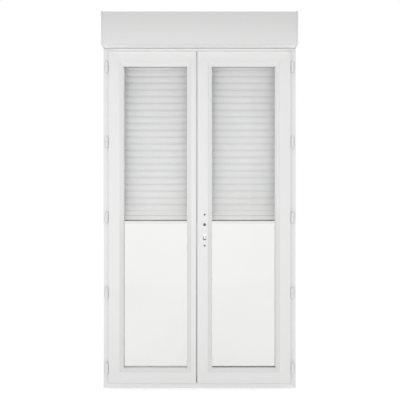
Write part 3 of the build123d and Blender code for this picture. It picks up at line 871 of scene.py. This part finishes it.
def copies(model: bpy.types.Object, places: list[Matrix], name: str) -> bpy.types.Object:
    """Copy a model to its places, each copy with its own mesh, and join them.

    Args:
        model: the modelled piece, which is used up.
        places: where each copy goes.
        name: the joined piece's name.

    Returns:
        The joined piece.
    """
    bpy.ops.object.select_all(action="DESELECT")
    for place in places:
        copy = model.copy()
        copy.data = model.data.copy()
        copy.data.transform(place)
        bpy.context.collection.objects.link(copy)
        copy.select_set(True)
        bpy.context.view_layer.objects.active = copy
    bpy.data.objects.remove(model)
    bpy.ops.object.join()
    joined = bpy.context.object
    joined.name = name
    joined.data.name = name
    log.info("%s: %d copies", name, len(places))
    return joined


def wear(piece: bpy.types.Object, material: bpy.types.Material) -> None:
    """Give a piece its material.

    Args:
        piece: the added piece.
        material: its finish.
    """
    piece.data.materials.clear()
    piece.data.materials.append(material)


class Facing(Enum):
    """The way that a small fitting's head looks, as a turn of one that looks up."""

    UP = Matrix.Identity(4)
    DOWN = Matrix.Rotation(pi, 4, "X")
    LEFT = Matrix.Rotation(-pi / 2, 4, "Y")
    RIGHT = Matrix.Rotation(pi / 2, 4, "Y")

    def at(self, x: float, y: float, z: float) -> Matrix:
        """The fitting's place and turn."""
        return Matrix.Translation((x, y, z)) @ self.value


@dataclass
class SlatCurtain:
    """The hanging slats: bowed, each tongue in the groove of the slat above.

    Attributes:
        half_length: half a slat's length.
        middle_y: y of the slats' middle plane.
        first: height of the lowest slat.
        pitch: height from slat to slat.
        count: number of slats.
        half_thickness: half a slat's thickness at its middle.
        half_edge: half its thickness at its upper and lower edge.
        joint: gap between two slats.
        tongue: height of the tongue.
        tongue_share: its thickness, as a share of the edge's.
        groove_share: the groove's width, as a share of the edge's.
        margin: how near an edge a face lies that belongs to it.
        hem: height of the curtain's foot; it goes only into an end point that nothing uses.
        sides: flats round the bow.
    """

    half_length: float = 0.588
    middle_y: float = 0.059
    first: float = 1.1175
    pitch: float = 0.0436
    count: int = 26
    half_thickness: float = 0.00425
    half_edge: float = 0.0017
    joint: float = 0.0004
    tongue: float = 0.004
    tongue_share: float = 0.42
    groove_share: float = 0.62
    margin: float = 0.0005
    hem: float = 0.002
    sides: int = 36

    def slat(self) -> bpy.types.Object:
        """Model one slat with its lower edge at the origin's height.

        Returns:
            The slat.
        """
        tall = self.pitch - self.joint
        reach = tall / 2 / (1 - (self.half_edge / self.half_thickness) ** 2) ** 0.5
        bench = Bench(
            "slat", bpy.ops.mesh.primitive_cylinder_add, vertices=self.sides, radius=1.0,
            depth=2 * self.half_length, location=(0, self.middle_y, 0), rotation=(0, pi / 2, 0),
        )
        centre = (0.0, self.middle_y, 0.0)
        bench.everything()
        bench.resize((1.0, self.half_thickness, reach), centre)
        bpy.ops.transform.translate(value=(0, 0, tall / 2))
        bench.trim((0, self.middle_y, tall), (0, 0, 1))
        bench.trim((0, self.middle_y, 0), (0, 0, -1))
        bench.pick(lambda place, normal: normal.z > 0.9 and place.z > tall - self.margin)
        bench.push(z=0.0)
        bench.resize((1.0, self.tongue_share, 1.0), centre)
        bench.push(z=self.tongue)
        bench.pick(lambda place, normal: normal.z < -0.9 and place.z < self.margin)
        bench.push(z=0.0)
        bench.resize((1.0, self.groove_share, 1.0), centre)
        bench.push(z=self.tongue + self.joint)
        return bench.done(40.0)

    def build(self, material: bpy.types.Material) -> None:
        """Hang the slats in place of the plain ones.

        Args:
            material: the slats' finish.
        """
        places = [Matrix.Translation((0, 0, self.first + i * self.pitch)) for i in range(self.count)]
        curtain = copies(self.slat(), places, "slat_curtain")
        wear(curtain, material)
        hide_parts("shutter_slats")
        top = self.first + self.count * self.pitch
        start, end = (0.0, self.middle_y, top), (0.0, self.middle_y, self.first + self.hem)
        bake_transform(curtain)


@dataclass
class Screws:
    """Small countersunk screws with a star recess, on the lock, the bolts, the keeps and the hatch.

    Attributes:
        radius: the head's radius.
        proud: the head's height.
        recess: depth of the star.
        sides: flats round the head.
        rim_share: width of the sloping rim, as a share of the radius.
        dome_share: how far the rim rises, as a share of the height.
        land_share: width of the flat round the star, as a share of the radius.
        star_share: the star's radius, as a share of the head's.
        valley_share: how far the star's valleys come in.
        foot_share: how much the star narrows to its foot.
        line_y: y of the lock's middle line.
        lock_x: x of the lock's face plate.
        lock_levels: heights of its screws.
        housing_insets: the bolt screws' distances from the housings' ends.
        keep_steps: the keep screws' places, from the keep's middle.
        head_keeps: x of the keeps in the head.
        head_level: height of their face.
        sill_keeps: x of the keeps in the sill.
        sill_level: height of their face.
        hatch_x: x of the hatch screws.
        hatch_y: y of the hatch screws.
        hatch_level: height of the hatch's face.
    """

    radius: float = 0.0034
    proud: float = 0.0007
    recess: float = 0.0011
    sides: int = 24
    rim_share: float = 0.22
    dome_share: float = 0.25
    land_share: float = 0.28
    star_share: float = 0.5
    valley_share: float = 0.72
    foot_share: float = 0.85
    line_y: float = -0.016
    lock_x: float = -0.0127
    lock_levels: tuple[float, ...] = (0.832, 0.912, 1.122, 1.168)
    housing_insets: Span = (0.006, 0.114)
    keep_steps: tuple[float, ...] = (-0.016, 0.016)
    head_keeps: tuple[float, ...] = (0.01735, -0.038)
    head_level: float = 2.121
    sill_keeps: tuple[float, ...] = (0.04485, -0.038)
    sill_level: float = 0.041
    hatch_x: tuple[float, ...] = (-0.56, -0.19, 0.19, 0.56)
    hatch_y: tuple[float, ...] = (-0.128, -0.046)
    hatch_level: float = 2.15

    def screw(self) -> bpy.types.Object:
        """Model one screw head that looks up, its seat at the origin.

        Returns:
            The screw head.
        """
        bench = Bench(
            "screw", bpy.ops.mesh.primitive_cylinder_add, vertices=self.sides, radius=self.radius,
            depth=2 * self.proud, location=(0, 0, 0),
        )
        bench.pick(lambda place, normal: normal.z > 0.9)
        bpy.ops.mesh.inset(thickness=self.radius * self.rim_share)
        bpy.ops.transform.translate(value=(0, 0, self.proud * self.dome_share))
        bpy.ops.mesh.inset(thickness=self.radius * self.land_share)
        ring = self.radius * self.star_share
        spoke = pi / self.sides * 4

        def in_valley(_number: int, place: Vector) -> bool:
            """Whether a point of the recess's rim lies between two arms of the star."""
            flat = Vector((place.x, place.y))
            return place.z > self.proud and abs(flat.length - ring) < ring * 0.2 and (
                round(Vector((1, 0)).angle_signed(flat) / (spoke / 2)) % 4 >= 2
            )

        bench.pick_points(in_valley)
        bench.resize((self.valley_share, self.valley_share, 1.0), (0.0, 0.0, self.proud))
        bench.pick(lambda place, normal: normal.z > 0.9 and place.xy.length < ring * 0.2)
        bench.push(z=-self.recess)
        bench.resize((self.foot_share, self.foot_share, 1.0), (0.0, 0.0, 0.0))
        return bench.done(30.0)

    def drive(
        self, name: str, body: str, places: list[Matrix], material: bpy.types.Material,
    ) -> None:
        """Set a row of screws on one body.

        Args:
            name: the row's name.
            body: the body that it rides on.
            places: the screws' places and turns.
            material: their finish.
        """
        row = copies(self.screw(), places, name)
        wear(row, material)
        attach(row, body)

    def build(self, materials: dict[str, bpy.types.Material]) -> None:
        """Set the screws of the lock, the bolts, the keeps and the hatch.

        Args:
            materials: the finishes by slot.
        """
        steel = materials["lock_steel"]
        edge = [Facing.LEFT.at(self.lock_x, self.line_y, z) for z in self.lock_levels]
        self.drive("lock_screws", "right_leaf", edge, steel)
        low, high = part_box("flush_bolt_housings")
        near, far = self.housing_insets
        levels = (low[2] + near, low[2] + far, high[2] - far, high[2] - near)
        housing = [Facing.RIGHT.at(high[0], self.line_y, z) for z in levels]
        self.drive("bolt_screws", "left_leaf", housing, steel)
        above = [x + step for x in self.head_keeps for step in self.keep_steps]
        below = [x + step for x in self.sill_keeps for step in self.keep_steps]
        keeps = [Facing.DOWN.at(x, self.line_y, self.head_level) for x in above]
        keeps += [Facing.UP.at(x, self.line_y, self.sill_level) for x in below]
        self.drive("keep_screws", "frame", keeps, steel)
        hatch = [Facing.DOWN.at(x, y, self.hatch_level) for x in self.hatch_x for y in self.hatch_y]
        self.drive("hatch_screws", "frame", hatch, materials["white_hinge"])


@dataclass
class DrainCaps:
    """Hooded caps over the sill's drain slots, on the outside.

    Attributes:
        width: a cap's width.
        height: its height.
        depth: how far it stands out.
        hood: the front's size, as shares of the back's.
        wall: its wall, and the rounding of its edges.
        hollow_share: depth of its hollow, as a share of its height.
        face_y: y of the sill's outer face.
        level: height of the caps' middle.
        places_x: the caps' places along the sill.
    """

    width: float = 0.044
    height: float = 0.012
    depth: float = 0.006
    hood: Point = (0.9, 1.0, 0.7)
    wall: float = 0.0012
    hollow_share: float = 0.6
    face_y: float = 0.035
    level: float = 0.016
    places_x: tuple[float, ...] = (-0.42, 0.0, 0.42)

    def cap(self) -> bpy.types.Object:
        """Model one cap, its back on the sill's face.

        Returns:
            The cap.
        """
        bench = Bench(
            "drain_cap", bpy.ops.mesh.primitive_cube_add, size=1.0,
            location=(0, self.face_y + self.depth / 2, self.level),
            scale=(self.width, self.depth, self.height),
        )
        bench.pick(lambda place, normal: normal.y > 0.9)
        bench.resize(self.hood, (0.0, self.face_y, self.level - self.height / 2))
        bench.pick(lambda place, normal: normal.z < -0.9)
        bpy.ops.mesh.inset(thickness=self.wall)
        bench.push(z=self.height * self.hollow_share)
        bench.soften(self.wall, 3, 40.0)
        return bench.done(40.0)

    def build(self, material: bpy.types.Material) -> None:
        """Clip the caps along the sill.

        Args:
            material: their finish.
        """
        caps = copies(self.cap(), [Matrix.Translation((x, 0, 0)) for x in self.places_x], "drain_caps")
        wear(caps, material)
        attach(caps, "frame")


@dataclass
class RailFittings:
    """Caps over the guide rails' fixing holes and the brush strips in their slots.

    Attributes:
        face_x: distance of the rails' faces from the middle.
        cap_y: y of the caps' middle.
        cap_radius: a cap's radius.
        cap_proud: how far it stands out.
        cap_sides: flats round it.
        rim_share: width of its rim, as a share of the radius.
        dish_share: depth of its dish, as a share of how far it stands out.
        cap_round: rounding of its edges.
        cap_levels: heights of the caps.
        slot_y: y of the two walls of a rail's slot.
        pile: height of a strip's pile.
        tuft: how far the pile's middle stands out.
        fold_share: width of the strip's edge, as a share of the strip's.
        strip_width: a strip's width.
        strip_inset: its distance from the rail's face.
        strip_foot: height of its lower end.
        strip_height: its length.
    """

    face_x: float = 0.560
    cap_y: float = 0.0445
    cap_radius: float = 0.0055
    cap_proud: float = 0.0012
    cap_sides: int = 28
    rim_share: float = 0.25
    dish_share: float = 0.3
    cap_round: float = 0.0003
    cap_levels: tuple[float, ...] = (0.2, 0.72, 1.24, 1.76, 2.06)
    slot_y: Span = (0.0535, 0.0645)
    pile: float = 0.0006
    tuft: float = 0.0001
    fold_share: float = 0.2
    strip_width: float = 0.005
    strip_inset: float = 0.001
    strip_foot: float = 0.004
    strip_height: float = 2.14

    def cap(self) -> bpy.types.Object:
        """Model one round cap that looks up.

        Returns:
            The cap.
        """
        bench = Bench(
            "rail_cap", bpy.ops.mesh.primitive_cylinder_add, vertices=self.cap_sides,
            radius=self.cap_radius, depth=2 * self.cap_proud, location=(0, 0, 0),
        )
        bench.pick(lambda place, normal: normal.z > 0.9)
        bpy.ops.mesh.inset(thickness=self.cap_radius * self.rim_share)
        bpy.ops.transform.translate(value=(0, 0, -self.cap_proud * self.dish_share))
        bench.soften(self.cap_round, 2, 50.0)
        return bench.done(35.0)

    def strip(self) -> bpy.types.Object:
        """Model one brush strip, lying at the origin with its pile towards +y.

        Returns:
            The strip.
        """
        bench = Bench(
            "brush_strip", bpy.ops.mesh.primitive_cube_add, size=1.0,
            location=(0, self.pile / 2, self.strip_foot + self.strip_height / 2),
            scale=(self.strip_width, self.pile, self.strip_height),
        )
        bench.pick(lambda place, normal: normal.y > 0.9)
        bpy.ops.mesh.inset(thickness=self.strip_width * self.fold_share)
        bench.push(y=self.tuft)
        bench.soften(self.tuft, 1, 50.0)
        return bench.done(30.0)

    def build(self, materials: dict[str, bpy.types.Material]) -> None:
        """Fit the caps and the strips on both rails.

        Args:
            materials: the finishes by slot.
        """
        caps = [Facing.RIGHT.at(-self.face_x, self.cap_y, z) for z in self.cap_levels]
        caps += [Facing.LEFT.at(self.face_x, self.cap_y, z) for z in self.cap_levels]
        covers = copies(self.cap(), caps, "rail_caps")
        wear(covers, materials["rail_aluminium"])
        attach(covers, "frame")
        middle = self.face_x + self.strip_inset + self.strip_width / 2
        near, far = self.slot_y
        half_turn = Matrix.Rotation(pi, 4, "Z")
        strips = [Matrix.Translation((side * middle, near, 0)) for side in (-1, 1)]
        strips += [Matrix.Translation((side * middle, far, 0)) @ half_turn for side in (-1, 1)]
        brushes = copies(self.strip(), strips, "brush_strips")
        wear(brushes, materials["grey_seal"])
        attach(brushes, "frame")


@dataclass
class Studio:
    """Floor, light and camera of the picture.

    Attributes:
        eye: the camera's place.
        lens: its focal length in millimetres.
        sensor: its sensor's width in millimetres.
        floor_size: the floor's width.
        floor_glow: how much the floor shines by itself.
        world_strength: strength of the white room's light.
        key_power: the soft lamp's power in watts.
        key_place: its place.
        key_aim: the point that it looks at.
        key_size: its width.
        glass_layers: how many layers of glass light passes.
    """

    eye: Point = (0.0025, -4.365, 1.190)
    lens: float = 61.6
    sensor: float = 36.0
    floor_size: float = 60.0
    floor_glow: float = 0.13
    world_strength: float = 1.0
    key_power: float = 26.0
    key_place: Point = (-0.5, -3.6, 1.3)
    key_aim: Point = (0.0, 0.0, 1.3)
    key_size: float = 2.2
    glass_layers: int = 32

    def build(self) -> None:
        """Set up the floor, the lights and the camera."""
        self.floor()
        self.light()
        self.camera()

    def floor(self) -> None:
        """Lay a plain pale floor under the sill."""
        bpy.ops.mesh.primitive_plane_add(size=self.floor_size, location=(0, 0, 0))
        floor = bpy.context.object
        floor.name = "floor"
        shader = Shader("pale_floor")
        cloud = shader.noise(1.5)
        colour = shader.tone((0.95, 0.95, 0.95), (0.98, 0.98, 0.98), cloud)
        glow = {"Emission_Color": (1, 1, 1, 1), "Emission_Strength": self.floor_glow}
        floor.data.materials.append(shader.surface(Base_Color=colour, Roughness=0.9, **glow))

    def light(self) -> None:
        """Fill the room with soft white light, add a soft lamp in front, and let light through the glass."""
        world = bpy.data.worlds.new("white_room")
        world.use_nodes = True
        backdrop = world.node_tree.nodes["Background"]
        backdrop.inputs["Color"].default_value = (1, 1, 1, 1)
        backdrop.inputs["Strength"].default_value = self.world_strength
        bpy.context.scene.world = world
        bpy.ops.object.light_add(type="AREA", location=self.key_place)
        lamp = bpy.context.object
        lamp.name = "soft_lamp"
        lamp.data.energy = self.key_power
        lamp.data.size = self.key_size
        aim = Vector(self.key_aim) - Vector(self.key_place)
        lamp.rotation_euler = aim.to_track_quat("-Z", "Y").to_euler()
        bpy.context.scene.cycles.transparent_max_bounces = self.glass_layers

    def camera(self) -> None:
        """Stand the camera level, square in front of the doors."""
        bpy.ops.object.camera_add(location=self.eye, rotation=(radians(90), 0, 0))
        camera = bpy.context.object
        camera.data.lens = self.lens
        camera.data.sensor_width = self.sensor
        scene = bpy.context.scene
        scene.camera = camera
        scene.view_settings.view_transform = "Standard"


@dataclass
class Finishes:
    """The finishes of every CAD node, by its name or its slot.

    Attributes:
        frame_seams: welded corners of the frame.
        left_seams: welded corners of the left leaf.
        right_seams: welded corners of the right leaf.
        lock_hollows: painted shade in and round the holes for the lock.
        case_cavity: the painted shade inside the lock case.
        box_heights: heights of the shutter box's foot and top, over which its painted shade deepens.
        bar_line: heights of the line along the bottom bar.
        pane_dust_and_shade: heights below which the beads and the seals round the panes are darker; on the
            beads this is painted shade.
        glazing_seal: colour of the seals round the panes.
        plated_steel: colour of plated steel.
    """

    frame_seams: Seams = Seams(-0.608, 0.608, 1.0, 0.0, 2.162)
    left_seams: Seams = Seams(-0.575, -0.022, 0.032, 0.033, 2.129)
    right_seams: Seams = Seams(0.575, -0.013, 0.066, 0.033, 2.129)
    lock_hollows: tuple[Cavity | HoleShade, ...] = (
        # painted shade inside the hollow profile round the lock
        Cavity((0.017, -0.0498, 0.88), (0.047, 0.017, 1.115)),
        # painted shade in the drilled holes
        HoleShade(0.032, 1.0975, 0.0058),
        HoleShade(0.032, 0.9025, 0.0058),
        # painted shadow along the left and lower edges of the cylinder's cut-out, and painted shade on its
        # right side
        Cavity((0.0228, -0.0505, 0.9405), (0.0274, -0.049, 0.966)),
        Cavity((0.0228, -0.0505, 0.937), (0.0406, -0.049, 0.9414)),
        Cavity((0.0369, -0.0505, 0.9405), (0.0412, -0.049, 0.962), (0.36, 0.36, 0.36)),
    )
    # painted shade inside the lock case
    case_cavity: Cavity = Cavity((-0.0095, -0.04, 0.8), (0.06, 0.01, 1.2))
    box_heights: Span = (2.15, 2.36)
    bar_line: Span = (1.0875, 1.092)
    pane_dust_and_shade: Span = (0.9, 1.2)
    glazing_seal: Colour = (0.95, 0.95, 0.94)
    plated_steel: Colour = (0.66, 0.65, 0.62)

    def by_slot(self) -> dict[str, bpy.types.Material]:
        """Make a material for each of the record's slots but the welded plastic.

        Returns:
            The materials by the slots' names, or by the name of a node that differs.
        """
        slats = SlatCurtain()
        finishes = {
            "white_hinge": CoatedMetal("hinge_paint", (0.64, 0.64, 0.635), 0.32),
            "box_plastic": BoxPlastic("box_plastic", (0.592, 0.592, 0.59), self.box_heights),
            # a lighter copy of the box plastic on the box's underside: painted light where the underside
            # lies in shade
            "box_hatch": BoxPlastic("hatch_plastic_painted_light", (0.80, 0.805, 0.80), self.box_heights),
            "slat_plastic": SlatPlastic(
                "slat_plastic", (0.885, 0.889, 0.887), slats.first, slats.pitch, slats.middle_y,
            ),
            "rail_aluminium": CoatedMetal("rail_powder", (0.70, 0.70, 0.695), 0.4),
            "bottom_bar": BarPowder("bar_powder", (0.93, 0.935, 0.93), self.bar_line),
            "glass": ClearGlass("clear_glass"),
            "spacer_metal": PerforatedSpacer("pane_spacer", (0.88, 0.885, 0.89)),
            "grey_seal": SealRubber("grey_seal", (0.60, 0.605, 0.60)),
            "left_meeting_seal": SealRubber(
                "left_meeting_seal", (0.64, 0.64, 0.635), soiled=(0.25, 1.5), soil=0.27,
            ),
            "right_meeting_seal": SealRubber("right_meeting_seal", (0.66, 0.66, 0.655)),
            "bottom_bar_seal": SealRubber("bar_seal", (0.265, 0.265, 0.265)),
            "galvanised_steel": ZincSteel("galvanised_steel", (0.62, 0.64, 0.66), 0.35, spangled=True),
            "lock_steel": ZincSteel("plated_steel", self.plated_steel, 0.28),
            "lock_case": ZincSteel("case_steel", self.plated_steel, 0.28, cavity=self.case_cavity),
            "lock_pinion": ZincSteel("burnished_steel", (0.16, 0.16, 0.17), 0.3),
            "motor_metal": CoatedMetal("motor_paint", (0.16, 0.17, 0.18), 0.4),
            "black_plastic": PlainPlastic("black_plastic", (0.035, 0.035, 0.035), 0.45, contrast=0.4),
        }
        for side in ("left", "right"):
            # the seals round the panes are darker low down, over the same heights as the painted shade on
            # the beads
            finishes[f"{side}_glazing_seals"] = SealRubber(
                f"{side}_glazing_seal", self.glazing_seal, contrast=0.04, soiled=self.pane_dust_and_shade, soil=0.78,
            )
        return {slot: finish.material() for slot, finish in finishes.items()}

    def welded(self) -> dict[str, bpy.types.Material]:
        """Make the welded plastic of the beads, the leaves and the frame.

        Returns:
            The materials by how the nodes' names start, in the order in which they are tried.
        """
        left, right, frame = self.left_seams, self.right_seams, self.frame_seams
        # painted shade: the beads darker low down
        beads = {"dim_below": self.pane_dust_and_shade, "dim_below_share": 0.45}
        finishes = {
            "left_glazing": WeldedPlastic("left_bead_plastic", left, **beads),
            "right_glazing": WeldedPlastic("right_bead_plastic", right, **beads),
            "left_": WeldedPlastic("left_leaf_plastic", left),
            "right_": WeldedPlastic("right_leaf_plastic", right, self.lock_hollows),
            "frame_jamb": WeldedPlastic("jamb_plastic", frame, colour=(0.658, 0.658, 0.656)),
            # the head, the sill and the other frame members get a lighter copy of the jamb plastic as
            # painted light where they lie in shade, with more painted light on the strip under the box
            "frame_": WeldedPlastic(
                "frame_plastic_painted_light", frame, colour=(0.70, 0.70, 0.698),
                painted_head_light=(2.128, 2.143), painted_head_light_gain=1.34,
            ),
        }
        return {start: finish.material() for start, finish in finishes.items()}

    def dress(self, frame: dict) -> dict[str, bpy.types.Material]:
        """Give every CAD node its finish.

        Args:
            frame: the loaded frame.

        Returns:
            The materials by name, for the added pieces.
        """
        materials, welded = self.by_slot(), self.welded()
        for part in frame["record"]["subparts"]:
            node, slot = part["node"], part["material_slot"]
            if slot == "white_profile":
                material = next(m for start, m in welded.items() if node.startswith(start))
            else:
                material = materials.get(node, materials[slot])
            for place in frame["nodes"][node].material_slots:
                place.material = material
            log.info("%s wears %s", node, material.name)
        return materials


def main() -> None:
    """Load the frame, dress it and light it."""
    logging.basicConfig(level=logging.INFO, format="%(message)s")
    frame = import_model()
    materials = Finishes().dress(frame)
    SlatCurtain().build(materials["slat_plastic"])
    Screws().build(materials)
    DrainCaps().build(materials["rail_aluminium"])
    RailFittings().build(materials)
    Studio().build()


if __name__ == "__main__":
    main()
